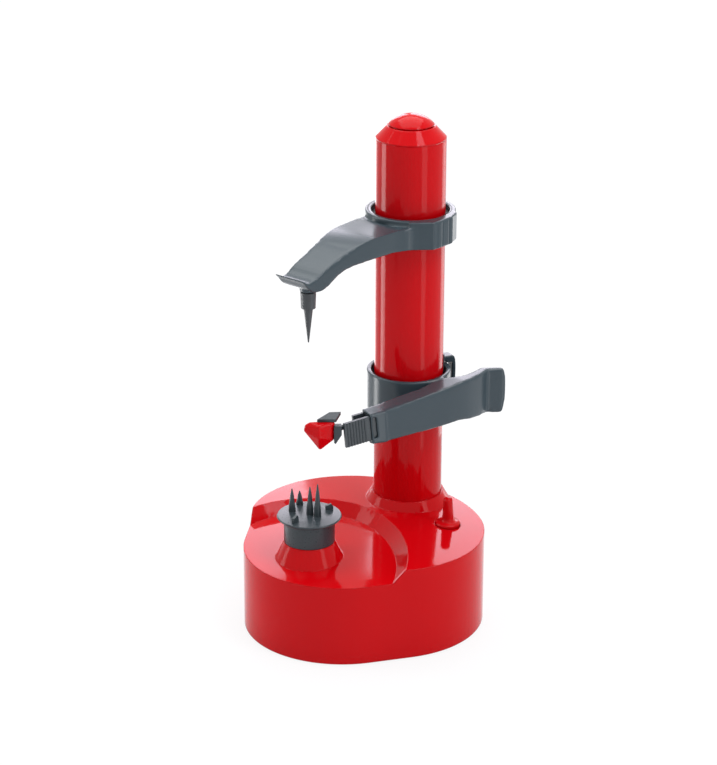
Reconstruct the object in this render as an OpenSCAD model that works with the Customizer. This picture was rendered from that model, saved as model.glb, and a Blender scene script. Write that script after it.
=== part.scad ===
// Battery potato peeler: a food turntable on a low oval base, a round column with a
// food holder that slides down onto the potato, and a spring arm that carries the blade
// down the column as a lead screw turns. Millimetres, +Z up, -Y towards the turntable.
// The origin is on the table, under the axis of the column.

/* [Base housing] */
// Height of the high deck at its rim
deck_z = 56.5; // [52:0.5:62]
// Depth of the low deck under the high deck
deck_step = 7.5; // [5:0.5:9]
// Rise of the crown in the middle of each deck
crown_h = 2.4; // [1:0.1:3]
// Radius over which the crown rises
crown_r = 73.5; // [65:0.5:80]
// Wall of the housing
housing_wall = 2.5; // [2:0.1:3]
// Offset of the housing's centre line from the column, to the right
plan_x = 2.8; // [0:0.1:5]
// Radius of the round nose in front
nose_r = 58.1; // [55:0.1:60]
// Distance from the column back to the centre of the nose
nose_y = 63.4; // [60:0.1:68]
// Radius of the two shoulders
shoulder_r = 59.5; // [57:0.1:61]
// Half the distance between the centres of the shoulders
shoulder_x = 13.1; // [10:0.1:16]
// Distance from the column forward to the centres of the shoulders
shoulder_y = 41.2; // [38:0.1:44]
// Radius of the flat back
rear_r = 84; // [80:0.5:90]
// Radius of the tight end of the deck's step
step_r = 52.2; // [50:0.1:54]
// Radius of the long side of the deck's step
step_long_r = 106; // [95:1:120]
// Run of the sloped wall between the decks
step_run = 6.5; // [5:0.1:8]

/* [Column] */
// Outer radius of the column
column_r = 20.5; // [18:0.1:22]
// Wall of the column
column_wall = 2.2; // [1.8:0.1:2.6]
// Height where the column turns in to its cone
column_top = 283.85; // [270:0.05:300]
// Height of the cone
cone_h = 6.8; // [5:0.1:8]
// Width of the flared foot round the column, on the deck
flare_w = 4.7; // [3.5:0.1:6]
// Height of the flared foot above the deck
flare_h = 6; // [4:0.1:8]
// Width of the cone's slope, from the column in to the domed button
cone_w = 6.5; // [5.5:0.1:8]
// Height of the domed button
dome_h = 5.9; // [4:0.1:7]
// Width of the slot down the back of the column
slot_w = 10; // [8:0.5:12]
// Direction of the slot, turned left from the right-hand side
slot_angle = 65; // [60:1:80]

/* [Turntable] */
// Distance from the column to the axis of the turntable
turn_y = 89.3; // [86:0.1:92]
// Radius of the red collar at its foot
collar_r = 19.6; // [18:0.1:21]
// Height of the top of the collar
collar_z = 60.9; // [59:0.1:63]
// Radius of the turntable's skirt
skirt_r = 14.8; // [13:0.1:16]
// Radius of the turntable's disc
disc_r = 18.8; // [17:0.1:20]
// Height of the top of the disc at its rim
disc_z = 77; // [75:0.1:79]
// Thickness of the rim of the disc
disc_lip = 1.6; // [1:0.1:2.5]
// Height of the tallest prong's tip above the disc
prong_h = 20.6; // [16:0.1:22]
// Radius of a prong at its foot
prong_r = 1.9; // [1.5:0.1:2.3]

/* [Food holder] */
// Height of the top of the holder's ring
holder_z = 240.95; // [238:0.05:243]
// Height of the holder's ring
holder_h = 16.4; // [15:0.1:18]
// Room between the column and the holder's ring
holder_room = 2.2; // [1.6:0.1:2.8]
// Thickness of the holder's ring
holder_band = 3.7; // [3:0.1:4.5]
// Depth of the flat grip on the right side of the ring
holder_pad = 2.1; // [1.5:0.1:3]
// Distance from the column to the end of the holder's lip
holder_reach = 105; // [102:0.5:108]
// Half the width of the holder's arm where it leaves the ring
holder_root_w = 17; // [15:0.1:18]
// Radius of the spike's socket
socket_r = 4.45; // [4:0.05:5]
// Length of the socket
socket_h = 9.8; // [8:0.1:12]
// Length of the spike under its socket
spike_len = 20.7; // [16:0.1:24]
// Radius of the spike under its socket
spike_r = 2.7; // [2.2:0.1:3]

/* [Peeler arm] */
// Height of the top of the arm's ring
ring_z = 141.9; // [139:0.1:144]
// Height of the arm's ring
ring_h = 23.9; // [22:0.1:26]
// Room between the column and the arm's ring
ring_room = 1.6; // [1.2:0.1:2]
// Thickness of the arm's ring
ring_band = 2.9; // [2.4:0.1:3.6]
// Distance from the column forward to the tip of the arm
arm_reach = 64; // [62:0.5:66]
// Distance from the column to the outer face of the arm
arm_side = 39.6; // [38:0.1:42]
// Distance from the column back to the end of the thumb paddle
paddle_back = 36.6; // [34:0.1:39]
// Wall of the arm's moulding
arm_wall = 2.6; // [2:0.1:3]

/* [Blade] */
// Length of the ribbed plate in front of the arm
plate_len = 16.4; // [15:0.1:18]
// Height of the ribbed plate
plate_h = 15; // [13:0.1:15.2]
// Distance over both ribbed plates
plate_gap = 8.2; // [7.8:0.1:8.6]
// Radius of the neck between the cassette and the head
neck_r = 1.5; // [1.2:0.1:1.8]
// Width of the blade head
head_w = 15.1; // [14.5:0.1:15.5]
// Height of the blade head
head_h = 16.8; // [16:0.1:17.4]

/* [Stop button] */
// Distance of the button from the column, to the right
stop_x = 42.8; // [41:0.1:45]
// Distance of the button from the column, to the front
stop_y = 14.3; // [13:0.1:18]
// Radius of the button's flange
stop_flange_r = 7.3; // [6.5:0.1:8]
// Radius of the button's peg at its foot
stop_peg_r = 3.4; // [3:0.1:4]
// Height of the top of the peg
stop_top_z = 74.9; // [72:0.1:77]
// Travel of the button
stop_travel = 3; // [2:0.1:3]

/* [Drive and battery] */
// Size of one tooth, as a share of the turntable's distance from the column
tooth_share = 0.0112; // [0.011:0.0001:0.0115]
// Teeth of the gear under the turntable
turn_teeth = 30; // [28:1:32]
// Teeth of the gear on the lead screw
screw_teeth = 24; // [22:1:26]
// Teeth of the front idler
front_teeth = 36; // [35:1:38]
// Teeth of the rear idler
rear_teeth = 32; // [31:1:34]
// Teeth of the motor's pinion
pinion_teeth = 12; // [11:1:14]
// Radius of the motor
motor_r = 12; // [11:0.1:13]
// Radius of the lead screw
screw_r = 4; // [3.6:0.1:4.4]
// Radius of one battery cell
cell_r = 7.1; // [6.9:0.1:7.2]
// Length of one battery cell
cell_len = 50; // [48:0.1:51]

/* [Hidden] */
$fn = 96;
red = "#c4101c";
slate = "#55646c";
dark = "#2c3337";
steel = "#b9bcc0";
// Fits
run_fit = 0.05;
press_fit = 0.02;
body_gap = 0.3;
cut = 1;
// Plan of the housing
foot_h = 0.8;
low_z = deck_z - deck_step;
crown_y = 48;
crown_reach = 110;
crown_ball_r = (crown_r * crown_r + crown_h * crown_h) / (2 * crown_h);
ball_fn = 1440;
rear_y = -shoulder_y - sqrt(pow(rear_r - shoulder_r, 2) - pow(shoulder_x, 2));
flank_run = [-shoulder_x, shoulder_y - nose_y];
flank_a = atan2(flank_run[1], flank_run[0]) + acos((shoulder_r - nose_r) / norm(flank_run));
shoulder_end_a = atan2(-shoulder_y - rear_y, shoulder_x);
nose_n = 22;
shoulder_n = 24;
rear_n = 6;
step_x = -10.7;
step_y = -83.1;
step_a = 72;
step_c = [step_x, step_y];
step_slope = step_run / deck_step;
// Inside of the housing
deck_wall = 3;
ceiling_z = low_z - deck_wall;
high_ceiling_z = deck_z - housing_wall;
plate_lift = 1.5;
plate_t = 2.5;
plate_top = plate_lift + plate_t;
plate_gap_round = 0.3;
boss_r = 3.6;
screw_hole_r = 1.2;
screw_hole_deep = 14;
screw_head_r = 2.7;
screw_head_h = 1.6;
boss_in = 8;
boss_shoulder_a = [[-1, 137], [1, 55]];
boss_nose_a = [-151, -43];
boss_places = concat([for (s = boss_shoulder_a) on_shoulder(s[0], s[1], boss_in, high_ceiling_z)],
    [for (a = boss_nose_a) on_nose(a, boss_in, ceiling_z)]);
foot_r = 6.5;
foot_sink = 0.8;
foot_top = plate_lift + foot_sink;
foot_in = 12;
foot_shoulder_a = [[-1, 165], [1, 35]];
foot_nose_a = [-130, -60];
foot_places = concat([[0, 0, 0]], [for (s = foot_shoulder_a) on_shoulder(s[0], s[1], foot_in, 0)],
    [for (a = foot_nose_a) on_nose(a, foot_in, 0)]);
// Drive
gear_module = tooth_share * turn_y;
gear_drop = 10.2;
gear_z = ceiling_z - gear_drop;
gear_h = 8;
gear_plate_t = 2.5;
gear_plate_z = gear_z - body_gap - gear_plate_t;
turn_c = [0, -turn_y];
turn_pr = turn_teeth * gear_module / 2;
screw_pr = screw_teeth * gear_module / 2;
front_pr = front_teeth * gear_module / 2;
rear_pr = rear_teeth * gear_module / 2;
pinion_pr = pinion_teeth * gear_module / 2;
rear_c = [0, -(screw_pr + rear_pr)];
idler_run = norm(turn_c - rear_c);
idler_in = (idler_run * idler_run + pow(front_pr + rear_pr, 2) - pow(front_pr + turn_pr, 2))
    / (2 * idler_run);
idler_off = sqrt(pow(front_pr + rear_pr, 2) - idler_in * idler_in);
front_c = [-idler_off, rear_c[1] - idler_in];
pinion_a = 160;
motor_c = front_c + (front_pr + pinion_pr) * [cos(pinion_a), sin(pinion_a)];
turn_phase = 90;
front_phase = mesh_phase(turn_teeth, turn_phase, bearing(turn_c, front_c), front_teeth);
rear_phase = mesh_phase(front_teeth, front_phase, bearing(front_c, rear_c), rear_teeth);
screw_phase = mesh_phase(rear_teeth, rear_phase, bearing(rear_c, [0, 0]), screw_teeth);
pinion_phase = mesh_phase(front_teeth, front_phase, pinion_a, pinion_teeth);
addendum_share = 0.9;
dedendum_share = 1.25;
backlash_share = 0.2;
tip_share = 0.5;
root_share = 1.35;
idler_pin_r = 2;
idler_pin_top = ceiling_z - body_gap;
motor_shaft_r = 1;
motor_bottom = plate_top + body_gap;
motor_bearing_h = 6;
motor_flat_share = 0.82;
post_r = 2.5;
post_in = 13.5;
gear_plate_edge = 16;
post_places = [[post_in, post_in, ceiling_z + cut], [-post_in, post_in, ceiling_z + cut],
    [post_in, turn_c[1] - post_in, ceiling_z + cut], [-post_in, turn_c[1] - post_in, ceiling_z + cut],
    [motor_c[0] - post_in, motor_c[1] + post_in, high_ceiling_z]];
gear_plate_corners = [[gear_plate_edge, gear_plate_edge], [gear_plate_edge, turn_c[1] - gear_plate_edge],
    [-gear_plate_edge, turn_c[1] - gear_plate_edge], [motor_c[0] - gear_plate_edge,
        motor_c[1] - gear_plate_edge],
    [motor_c[0] - gear_plate_edge, motor_c[1] + gear_plate_edge], [-gear_plate_edge, gear_plate_edge]];
spindle_r = 4;
spindle_below = 2;
spindle_bottom = gear_plate_z - spindle_below;
spindle_in = 7;
spindle_top = disc_z - spindle_in;
screw_bottom = gear_plate_z - spindle_below;
bush_h = 4;
cone_plug_h = 9;
bush_lift = 1;
bush_gap = 0.85;
screw_over = 5;
bush_r = column_r - column_wall - press_fit;
lower_bush_z = ceiling_z + bush_lift;
upper_bush_z = column_top - cone_plug_h - bush_gap - bush_h;
screw_top = upper_bush_z + bush_h + screw_over;
// Battery
cell_gap = 0.3;
cell_pitch = 2 * cell_r + cell_gap;
cells = 4;
cell_z = 5.5;
box_x = -8;
contact_room = 2.5;
box_len = cell_len + 2 * contact_room;
box_y = -80.4;
box_w = cells * cell_pitch;
box_wall = 1.4;
box_h = 22;
contact_t = 0.5;
contact_h = 10;
nub_r = 2.7;
contact_share = 1.6;
nub_h = 1.2;
door_gap = 0.3;
door_grips = 3;
door_grip_pitch = 3;
door_grip_len = 18;
door_grip_t = 1.2;
door_grip_deep = 0.7;
// Column
tube_bottom = lower_bush_z;
socket_wall = 3.6;
ledge_t = 2;
ledge_w = 3;
deck_at_column = deck_z + crown_h * (1 - pow(crown_y / crown_r, 2));
flare_lip = 1.2;
flare_r = column_r + flare_w;
flare_top_r = column_r + flare_lip;
flare_slope = (flare_r - flare_top_r) / flare_h;
cone_seam = 0.6;
slot_lift = 21.5;
slot_end = 4;
slot_bottom = deck_z + slot_lift;
slot_top = upper_bush_z - slot_end;
dome_lip = 0.75;
cone_ledge = 0.6;
dome_r = column_r - cone_w - cone_ledge;
dome_ball_r = (dome_r * dome_r + dome_h * dome_h) / (2 * dome_h);
dome_sink = 4;
dome_wall = 3.4;
dome_wall_r = dome_r - dome_wall;
dome_groove = 0.6;

cone_wall = 2;
// Turntable
deck_at_turn = low_z + crown_h * (1 - pow((turn_y - crown_y) / crown_r, 2));
collar_slope = (collar_r - skirt_r) / (collar_z - deck_at_turn);
disc_dome = 0.8;
disc_under = 1;
disc_shares = [[0.6, 0.7], [0, 1]];
prong_shares = [[0.92, 0.3], [0.6, 0.7]];
prong_fin_shares = [[1.35, 0], [1.15, 0.35], [0, 0.9]];
fin_shares = [[0.5, 0.6], [0.25, 1], [-0.5, 0.75]];
prong_place_shares = [[-0.532, -0.197, 0.72], [-0.713, 0.356, 0.43], [0.0585, -0.032, 0.87],
    [0.3245, 0.0213, 1]];
prong_tip_r = 0.25;
fin_place_shares = [[0.069, -0.718], [0.266, 0.628]];
fin_a = [95, 60];
fin_len = 4.4;
fin_t = 1.6;
fin_h = 4.2;
prong_fin_t = 0.9;
// Stop button
deck_at_stop = deck_z + crown_h * (1 - (pow(stop_x, 2) + pow(crown_y - stop_y, 2)) / pow(crown_r, 2));
stop_flange_h = 2;
stop_flange_top = deck_at_stop + stop_flange_h;
stop_flange_t = 3;
stop_pocket_z = stop_flange_top - stop_flange_t - stop_travel - body_gap;
stop_pocket_wall = 2;
stop_pocket_floor = 2;
stop_stem_r = 2.4;
stop_stem_h = 10;
stop_stem_bottom = deck_z - stop_stem_h;
stop_fillet = 1.4;
stop_top_share = 0.8;
switch_len = 12.8;
switch_w = 6.5;
switch_h = 7;
switch_key_r = 1.2;
switch_key_h = 1;
switch_top = stop_stem_bottom - stop_travel - body_gap - switch_key_h;
switch_post_w = 10;
// Food holder
holder_bottom = holder_z - holder_h;
holder_hole_r = column_r + holder_room;
holder_r = holder_hole_r + holder_band;
holder_pad_x = holder_r + holder_pad;
holder_rim = 2.6;
holder_half_shares = [[0, 0.8], [0.14, 1], [0.44, 0.9], [0.62, 0.77], [0.74, 0.7], [0.84, 0.66],
    [0.93, 0.62], [1, 0.63]];
holder_top_shares = [[0.06, -0.18], [0.24, -0.19], [0.44, -0.18], [0.62, -0.35], [0.735, -0.58],
    [0.84, -0.83], [0.9, -1.02],
    [0.95, -1.09], [0.985, -1.0], [1, -0.91]];
holder_under_shares = [[1, -0.98], [0.98, -1.1], [0.95, -1.32], [0.9, -1.49], [0.83, -1.47], [0.76, -1.27],
    [0.7, -1.09],
    [0.6, -0.99], [0.44, -0.965], [0.2, -0.98], [0.06, -0.98]];
holder_dish = 3;
holder_dish_share = 0.69;
holder_dish_end = holder_reach * holder_dish_share;
curve_n = 3;
pad_shares = [[0, 0], [0.62, -0.8], [1, -0.46], [1, 0.1], [0.9, 0.39], [0.456, 0.76], [0.22, 0.9], [0, 0.9]];
flank_shares = [[0.3, -0.4], [0.93, -0.527], [0.86, -0.593], [0.78, -0.668], [0.71, -0.75], [0.655, -0.84],
    [0.61, -0.96],
    [0.578, -1.12], [0.553, -1.33], [0.54, -1.6], [0.3, -1.6]];
grip_r = 0.7;
grip_n = 7;
grip_pitch = 2;
grip_start = 9;
boss_drop = 27.25;
boss_bottom = holder_z - boss_drop;
socket_z = boss_bottom - socket_h;
spike_tip_z = socket_z - spike_len;
spike_boss_r = 4.9;
journal_r = 2.4;
journal_h = 6;
journal_top = boss_bottom + journal_h;
socket_taper = 0.3;
shank_r = 1.6;
shank_h = 7;
spike_tip_r = 0.35;
guide_r = holder_hole_r - press_fit;
guide_in = column_r + run_fit;
guide_h = 10;
guide_lift = 3;
guide_z = holder_bottom + guide_lift;
key_w = slot_w - 2 * run_fit;
key_in = column_r - column_wall;
latch_w = 6;
latch_h = 5;
latch_stick = 0.6;
latch_out = holder_r + latch_stick;
latch_deep = 3.8;
latch_in = key_in - latch_deep;
latch_z = guide_z + guide_h / 2;
latch_notch = 1.2;
latch_notch_deep = 0.8;
latch_gap = 0.1;
// Carriage
ring_hole_r = column_r + ring_room;
ring_r = ring_hole_r + ring_band;
sleeve_in = column_r + run_fit;
sleeve_out = ring_hole_r - run_fit;
ring_bottom = ring_z - ring_h;
sleeve_z = ring_bottom + body_gap;
sleeve_flange_w = 1.25;
sleeve_flange_r = sleeve_out + sleeve_flange_w;
sleeve_flange_h = 1.8;
sleeve_drop = 6;
sleeve_top = ring_z - sleeve_drop;
seat_r = sleeve_flange_r + body_gap;
seat_z = sleeve_z + sleeve_flange_h + body_gap;
button_lift = 1.6;
button_t = 3;
button_z = ring_z + button_lift;
rail_over = 2;
rail_top = button_z + button_t + rail_over;
rail_out = sqrt(pow(ring_hole_r - body_gap, 2) - pow(key_w / 2, 2));
rail_deep = 4.3;
rail_in = key_in - rail_deep;
button_w = 6.4;
button_travel = 2;
tab_gap = 0.5;
tab_in = ring_r + button_travel + tab_gap;
tab_t = 1.8;
tab_drop = 13.9;
tab_bottom = ring_z - tab_drop;
tab_round = 2.2;
tab_lean = 0.5;
tab_slope = 1.3;
web_in = rail_out + button_travel + tab_gap;
web_z = ring_z + body_gap;
yoke_gap = 0.5;
nut_share = 0.6;
yoke_in = -12.5;
yoke_w = 15;
nut_h = 11;
nut_w = 10;
nut_t = 4;
nut_play = 0.3;
// Peeler arm
arm_outer_shares = [[0.58, -0.975], [0.67, -0.9], [0.735, -0.766], [0.81, -0.563], [0.89, -0.328],
    [0.955, -0.125],
    [0.995, 0.06], [1, 0.19], [0.985, 0.32], [0.947, 0.436]];
arm_inner_shares = [[0.795, 0.45], [0.808, 0.327], [0.8, 0.194], [0.74, 0.1125], [0.63, -0.02], [0.6, -0.2],
    [0.57, -0.33], [0.51, -0.48], [0.462, -0.65], [0.42, -0.8], [0.386, -0.898]];
arm_tip_drop = 4.6;
arm_top_flat = 5;
arm_under_shares = [[-1.06, -0.94], [-0.9, -0.965], [-0.6, -0.985], [-0.2, -1], [0, -1], [0.19, -1.09],
    [0.42, -1.15],
    [0.61, -1.21]];
paddle_shares = [[0.955, 0.7], [0.947, 0.763], [1.125, 0.99], [1.11, 1.033], [1.04, 1.055], [0.795, 0.787],
    [0.8, 0.72]];
paddle_end_share = 1.12;
paddle_a = 50.8;
paddle_edge_shares = [[0.5, 0.3], [0.936, 0.3], [0.936, 0], [0.958, -0.012], [0.971, -0.05], [0.984, -0.2],
    [0.993, -0.42], [0.995, -0.6],
    [0.988, -0.8], [0.975, -1], [0.96, -1.12], [0.944, -1.19], [0.92, -1.4], [0.5, -1.4]];
paddle_tip = norm([paddle_shares[2][0] * arm_side, paddle_shares[2][1] * paddle_back]);
arm_floor = 3;
window_w = 2.4;
window_h = 12.6;
window_in = 3.6;
// Cassette
tip_x_share = 0.5;
tip_y_share = 0.95625;
tip_drop = 13.1;
tip_c = [arm_side * tip_x_share, -arm_reach * tip_y_share, ring_z - tip_drop];
cassette_a = 248.3;
cassette_tilt = 5.5;
cassette_in = 9;
socket_gap = 0.15;
socket_shell = 1.3;
plate_thick = 1.7;
rear_plate_share = 0.45;
plate_ribs = 7;
plate_rib_r = 0.42;
rib_pitch = 1.85;
neck_in = 6;
neck_rise = 3.8;
neck_out = 19.2;
neck_flange_r = 2;
neck_flange_t = 1;
// Blade head
neck_run = neck_out * cos(cassette_tilt) + neck_rise * sin(cassette_tilt);
head_c = tip_c + [neck_run * cos(cassette_a), neck_run * sin(cassette_a), neck_rise * cos(cassette_tilt)
    - neck_out * sin(cassette_tilt)];
head_a = 225;
head_depth = 5.6;
guard_y_share = -0.09;
guard_top_share = 0.179;
guard_shares = [[1, guard_y_share, guard_top_share], [1.135, guard_y_share, 0.11],
    [1.165, guard_y_share, -0.02],
    [0.17, guard_y_share, guard_top_share], [0.19, guard_y_share, -0.34], [0.64, 0.054, -0.643],
        [0.71, 0.643, 0.15],
    [0.69, 0.75, -0.19]];
guard_r = 1.4;
guard_t = 1.3;
hull_fn = 20;
block_shares = [[-0.17, 0.14], [-0.17, -0.175], [0.06, -0.5], [0.12, -0.46], [0.12, 0.14]];
block_w = 4.4;
clip_shares = [[0.755, 0], [0.25, -1], [-0.175, -1], [0.04, 0.06]];
clip_back = 8;
clip_tilt = 8;
clip_t = 1.9;
clip_z = head_h * guard_top_share + head_depth * guard_y_share * tan(clip_tilt) + (guard_r + press_fit)
    / cos(clip_tilt);
blade_x = 5.4;
blade_y = -0.7;
blade_z = 0.8;
blade_len = 12;
blade_w = 2;
blade_t = 0.7;
blade_end = 1.5;
blade_slit = 0.7;

// Direction from one centre to another
function bearing(a, b) = atan2(b[1] - a[1], b[0] - a[0]);
// Turn of a gear that puts its gaps on its neighbour's teeth
function mesh_phase(n, phase, a, m) = a + 180 - (n * (phase - a) + 180) / m;
// Smooth curve through a list of points
function bend(p, q, r, s, t) = 0.5 * (2 * q + (r - p) * t + (2 * p - 5 * q + 4 * r - s) * t * t
    + (3 * q - p - 3 * r + s) * t * t * t);
function curve(p, n) = [for (i = [0:len(p) - 2]) for (k = [0:n - 1])
    bend(p[max(i - 1, 0)], p[i], p[i + 1], p[min(i + 2, len(p) - 1)], k / n), p[len(p) - 1]];
function stretch(p, x, y) = [for (q = p) [q[0] * x, q[1] * y]];
function reverse(p) = [for (i = [len(p) - 1:-1:0]) p[i]];
function part(p, a, b) = [for (i = [a:b]) p[i]];
// Inner points of a line, moved to its left by d
function left_of(p, d) = [for (i = [1:len(p) - 2]) p[i] + d * [p[i - 1][1] - p[i + 1][1],
    p[i + 1][0] - p[i - 1][0]] / norm(p[i + 1] - p[i - 1])];

// Plan of the housing, drawn in from its outer face
function arc(c, r, a, b, n) = [for (i = [0:n]) c + r * [cos(a + (b - a) * i / n), sin(a + (b - a) * i / n)]];
function half_plan(inset) = concat(
    arc([0, -nose_y], nose_r - inset, -90, flank_a, nose_n),
    arc([shoulder_x, -shoulder_y], shoulder_r - inset, flank_a, shoulder_end_a, shoulder_n),
    arc([0, rear_y], rear_r - inset, shoulder_end_a, 90, rear_n));
module plan(inset) {
    half = half_plan(inset);
    translate([plan_x, 0]) polygon(concat(half, [for (p = reverse(half)) [-p[0], p[1]]]));
}

// Places at a height, measured in from the nose or from a shoulder of the plan
function on_nose(a, in, z) = [plan_x + (nose_r - in) * cos(a), (nose_r - in) * sin(a) - nose_y, z];
function on_shoulder(side, a, in, z) = [plan_x + side * shoulder_x + (shoulder_r - in) * cos(a),
    (shoulder_r - in) * sin(a) - shoulder_y, z];

// Everything under a crowned deck whose rim is at height z
module under_deck(z) {
    translate([0, -crown_y, 0]) rotate_extrude() intersection() {
        translate([0, z + crown_h - crown_ball_r]) circle(r = crown_ball_r, $fn = ball_fn);
        square([crown_reach, z + crown_h + cut]);
    }
}

// Space over the low deck from height z up, with its edge moved out by grow
module step_space(grow, z) {
    h = deck_z + crown_h + cut - z;
    translate([step_c[0], step_c[1], z]) rotate(step_a) for (side = [0, 1]) {
        long = side * (step_long_r - step_r);
        r = step_r + long + grow;
        translate([-long, 0, 0]) rotate(side * 180) rotate_extrude(angle = 180)
            polygon([[0, 0], [r - step_slope * (deck_z - z), 0], [r + step_slope * (crown_h + cut), h],
                [0, h]]);
    }
}

// The red shell, with its decks, the step between them and the sockets it carries
module base_housing() {
    color(red) difference() {
        union() {
            difference() {
                intersection() {
                    translate([0, 0, foot_h]) linear_extrude(deck_z + crown_h) plan(0);
                    under_deck(deck_z);
                }
                difference() {
                    step_space(0, low_z - cut);
                    under_deck(low_z);
                }
                translate([0, 0, -cut]) linear_extrude(ceiling_z + cut) plan(housing_wall);
                difference() {
                    translate([0, 0, ceiling_z - cut]) linear_extrude(high_ceiling_z - ceiling_z + cut)
                        plan(housing_wall);
                    step_space(housing_wall, ceiling_z - 2 * cut);
                }
            }
            intersection() {
                translate([0, 0, foot_h]) linear_extrude(column_top) plan(0);
                union() {
                    translate([0, 0, deck_z]) cylinder(r1 = flare_r + flare_slope * (deck_at_column
                        - deck_z), r2 = flare_top_r,
                        h = deck_at_column + flare_h - deck_z);
                    translate([0, 0, tube_bottom - ledge_t]) cylinder(r = column_r + socket_wall,
                        h = deck_z - tube_bottom + ledge_t);
                }
            }
            translate([turn_c[0], turn_c[1], low_z])
                cylinder(r1 = collar_r + collar_slope * (deck_at_turn - low_z), r2 = skirt_r,
                    h = collar_z - low_z);
            translate([stop_x, -stop_y, stop_pocket_z - stop_pocket_floor])
                cylinder(r = stop_flange_r + body_gap + stop_pocket_wall, h = deck_z - stop_pocket_z);
            for (p = boss_places) translate([p[0], p[1], plate_top])
                cylinder(r = boss_r, h = p[2] + cut - plate_top);
            for (p = post_places) translate([p[0], p[1], gear_plate_z + gear_plate_t])
                cylinder(r = post_r, h = p[2] + cut - gear_plate_z - gear_plate_t);
        }
        translate([0, 0, tube_bottom]) cylinder(r = column_r + press_fit, h = deck_z * 2);
        translate([0, 0, ceiling_z - 2 * cut]) cylinder(r = bush_r - ledge_w, h = deck_z);
        translate([turn_c[0], turn_c[1], ceiling_z - cut]) cylinder(r = spindle_r + run_fit, h = deck_z);
        translate([stop_x, -stop_y, stop_pocket_z]) cylinder(r = stop_flange_r + body_gap, h = deck_z);
        translate([stop_x, -stop_y, ceiling_z - cut]) cylinder(r = stop_stem_r + run_fit, h = deck_z);
        for (p = boss_places) translate([p[0], p[1], plate_top - cut])
            cylinder(r = screw_hole_r, h = screw_hole_deep + cut);
    }
}

// Floor of the base, with the box for the cells and the post of the switch
module base_plate() {
    color(dark) difference() {
        union() {
            translate([0, 0, plate_lift]) linear_extrude(plate_t) plan(housing_wall + plate_gap_round);
            translate([box_x - box_wall, box_y - box_wall, plate_lift])
                cube([box_len + 2 * box_wall, box_w + 2 * box_wall, box_h - plate_lift]);
            translate([stop_x - switch_post_w / 2, -stop_y - switch_w / 2, plate_lift])
                cube([switch_post_w, switch_w, switch_top - switch_h - plate_lift]);
        }
        translate([box_x, box_y, plate_lift - cut]) cube([box_len, box_w,
            box_h - plate_lift + cut - box_wall]);
        for (p = foot_places) translate([p[0], p[1], plate_lift - cut])
            cylinder(r = foot_r + press_fit, h = foot_sink + cut);
        for (p = boss_places) translate([p[0], p[1], plate_lift - cut]) {
            cylinder(r = screw_hole_r + press_fit, h = plate_t + 2 * cut);
            cylinder(r = screw_head_r + press_fit, h = screw_head_h + cut);
        }
    }
}

module battery_door() {
    color(dark) difference() {
        translate([box_x + door_gap, box_y + door_gap, plate_lift])
            cube([box_len - 2 * door_gap, box_w - 2 * door_gap, plate_t]);
        for (k = [1:door_grips]) translate([box_x + box_len - (k + 1) * door_grip_pitch,
            box_y + box_w / 2 - door_grip_len / 2,
            plate_lift - cut]) cube([door_grip_t, door_grip_len, door_grip_deep + cut]);
    }
}

// Four cells side by side, with their nubs turned alternately
module battery_cells() {
    for (k = [0:cells - 1]) translate([box_x + box_len / 2, box_y + (k + 0.5) * cell_pitch, cell_z + cell_r])
        rotate([0, 90, k % 2 * 180]) color("silver") {
            translate([0, 0, -cell_len / 2]) cylinder(r = cell_r, h = cell_len - nub_h);
            translate([0, 0, cell_len / 2 - nub_h - press_fit]) cylinder(r = nub_r, h = nub_h);
        }
}

// Spring plates at both ends of the cells
module battery_contacts() {
    color(steel) for (k = [0:cells - 1]) for (s = [-1, 1])
        translate([box_x + box_len / 2, box_y + (k + 0.5) * cell_pitch, cell_z + cell_r]) rotate(s * 90 - 90)
            translate([box_len / 2 - contact_t, 0, 0]) {
                translate([0, -contact_h / 2, -contact_h / 2]) cube([contact_t, contact_h, contact_h]);
                rotate([0, -90, 0]) cylinder(r1 = nub_r * contact_share, r2 = nub_r, h = (box_len - cell_len)
                    / 2 - contact_t - body_gap);
            }
}

module rubber_feet() {
    color("#222222") for (p = foot_places) translate([p[0], p[1], 0]) cylinder(r = foot_r, h = foot_top);
}

module base_screws() {
    color(steel) for (p = boss_places) translate([p[0], p[1], plate_lift]) {
        cylinder(r = screw_head_r, h = screw_head_h);
        cylinder(r = screw_hole_r - press_fit, h = screw_hole_deep);
    }
}

// One gear, with straight-flanked teeth
module gear(n, phase, bore) {
    pr = n * gear_module / 2;
    half = 90 / n * (1 - backlash_share);
    rotate(phase) difference() {
        linear_extrude(gear_h) polygon([for (i = [0:n - 1]) for (q = [[-dedendum_share, -root_share], [0, -1],
            [addendum_share, -tip_share], [addendum_share, tip_share], [0, 1], [-dedendum_share, root_share]])
                (pr + q[0] * gear_module) * [cos(i * 360 / n + q[1] * half),
                    sin(i * 360 / n + q[1] * half)]]);
        translate([0, 0, -cut]) cylinder(r = bore, h = gear_h + 2 * cut);
    }
}

// Carrier of the gear train, hung on posts under the ceiling
module gear_plate() {
    color("gainsboro") difference() {
        union() {
            translate([0, 0, gear_plate_z]) linear_extrude(gear_plate_t) polygon(gear_plate_corners);
            for (c = [front_c, rear_c]) translate([c[0], c[1], gear_plate_z])
                cylinder(r = idler_pin_r, h = idler_pin_top - gear_plate_z);
        }
        for (c = [turn_c, [0, 0]]) translate([c[0], c[1], gear_plate_z - cut])
            cylinder(r = spindle_r + run_fit, h = gear_plate_t + 2 * cut);
        translate([motor_c[0], motor_c[1], gear_plate_z - cut])
            cylinder(r = motor_shaft_r + body_gap, h = gear_plate_t + 2 * cut);
    }
}

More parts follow.
